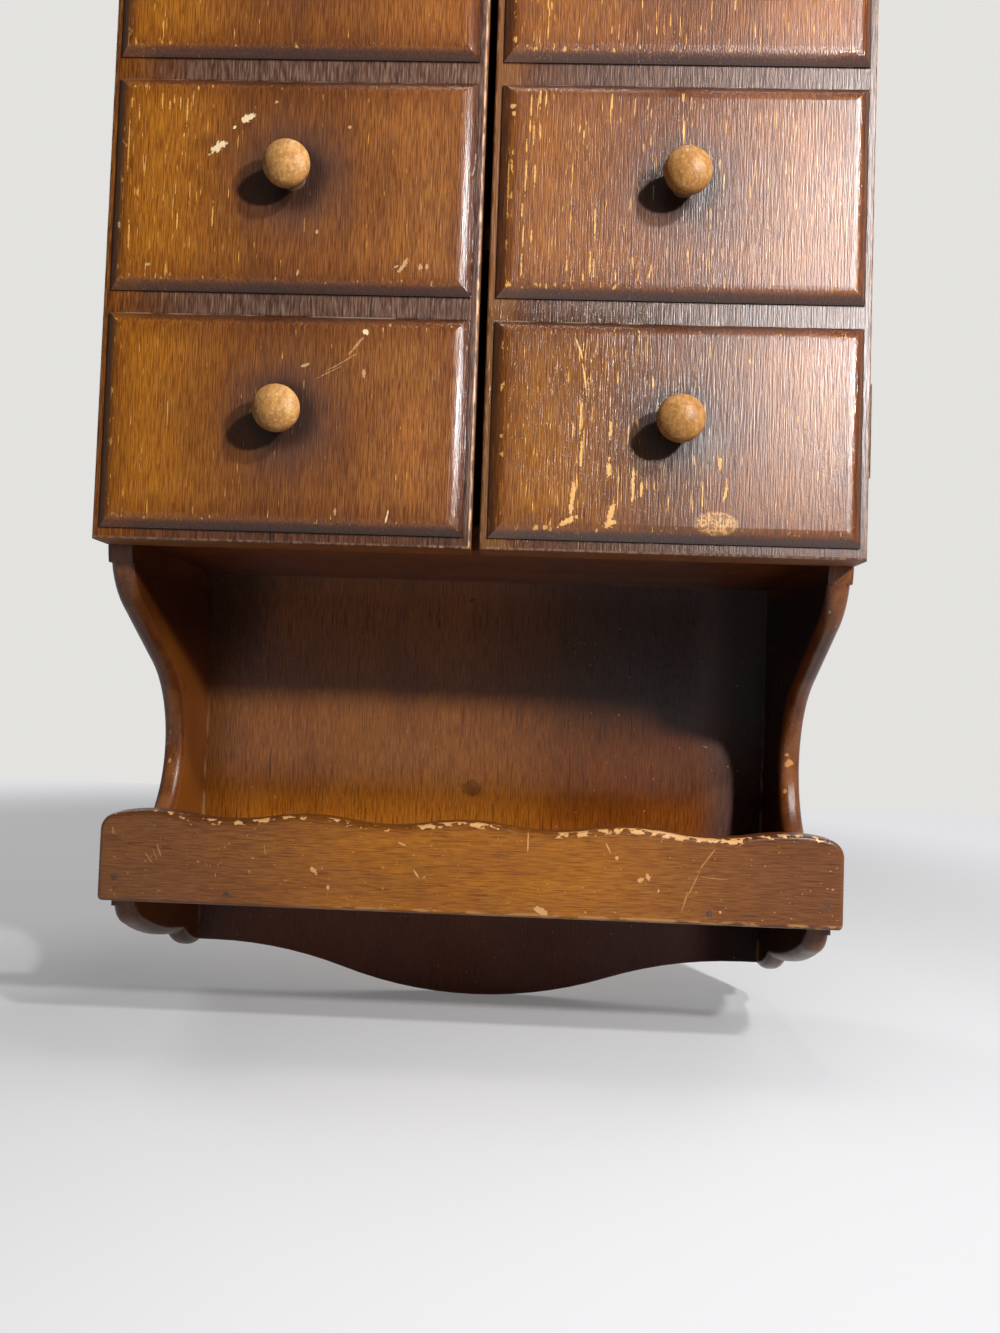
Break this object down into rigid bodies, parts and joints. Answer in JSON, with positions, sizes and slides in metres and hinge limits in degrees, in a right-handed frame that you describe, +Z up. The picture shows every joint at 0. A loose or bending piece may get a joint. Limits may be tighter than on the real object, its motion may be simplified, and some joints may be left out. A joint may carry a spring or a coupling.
{
  "type": "wall apothecary cabinet",
  "caption": "Wall-hung apothecary cabinet: hinged doors grooved to look like stacked drawers, turned knobs, fixed shelves inside, and an open tray below with scooped sides and a waved rail.",
  "frame": {"origin": "on the wall plane, midway between the two hanging holes in the back panel", "axes": "+Z up, +Y from the front of the cabinet into the wall, +X to the right as the doors are seen"},
  "size_m": [0.3168, 0.1475, 0.6405],
  "materials": {
    "door_wood": "toned satin lacquer, worn, with fine upright grain",
    "case_wood": "toned satin lacquer",
    "back_wood": "toned satin lacquer on thin plywood",
    "rail_wood": "toned satin lacquer, worn to bare wood along the top edge",
    "knob_wood": "turned and lacquered",
    "hinge_brass": "satin, slightly dull",
    "brass_screw": "satin",
    "screw_steel": "zinc plated",
    "nail_steel": "dull, set and filled",
    "catch_housing": "satin",
    "catch_magnet": "dull ferrite between steel cheeks",
    "strike_steel": "zinc plated"
  },
  "bodies": {
    "case": {"back_nails": "nail_steel", "back_panel": "back_wood", "case_floor": "case_wood", "left_catch_housing": "catch_housing", "left_catch_magnet": "catch_magnet", "left_catch_screws": "screw_steel", "left_hinge_case_screws": "brass_screw", "left_lower_hinge_case_leaf": "hinge_brass", "left_lower_hinge_pin": "hinge_brass", "left_side": "case_wood", "left_upper_hinge_case_leaf": "hinge_brass", "left_upper_hinge_pin": "hinge_brass", "lower_shelf": "case_wood", "rail_nails": "nail_steel", "right_catch_housing": "catch_housing", "right_catch_magnet": "catch_magnet", "right_catch_screws": "screw_steel", "right_hinge_case_screws": "brass_screw", "right_lower_hinge_case_leaf": "hinge_brass", "right_lower_hinge_pin": "hinge_brass", "right_side": "case_wood", "right_upper_hinge_case_leaf": "hinge_brass", "right_upper_hinge_pin": "hinge_brass", "top_board": "case_wood", "tray_floor": "case_wood", "tray_rail": "rail_wood", "upper_shelf": "case_wood"},
    "left_leaf": {"left_door": "door_wood", "left_hinge_door_screws": "brass_screw", "left_knob_1": "knob_wood", "left_knob_2": "knob_wood", "left_knob_3": "knob_wood", "left_knob_4": "knob_wood", "left_knob_screws": "screw_steel", "left_lower_hinge_door_leaf": "hinge_brass", "left_strike": "strike_steel", "left_strike_screw": "screw_steel", "left_upper_hinge_door_leaf": "hinge_brass"},
    "right_leaf": {"right_door": "door_wood", "right_hinge_door_screws": "brass_screw", "right_knob_1": "knob_wood", "right_knob_2": "knob_wood", "right_knob_3": "knob_wood", "right_knob_4": "knob_wood", "right_knob_screws": "screw_steel", "right_lower_hinge_door_leaf": "hinge_brass", "right_strike": "strike_steel", "right_strike_screw": "screw_steel", "right_upper_hinge_door_leaf": "hinge_brass"}
  },
  "joints": [
    {"name": "left_door_hinge", "type": "hinge", "parent": "case", "child": "left_leaf", "pos_m": [-0.1553, -0.1115, -0.1685], "axis": [0, 0, -1], "range_deg": [0, 180]},
    {"name": "right_door_hinge", "type": "hinge", "parent": "case", "child": "right_leaf", "pos_m": [0.1553, -0.1115, -0.1685], "axis": [0, 0, 1], "range_deg": [0, 180]}
  ]
}
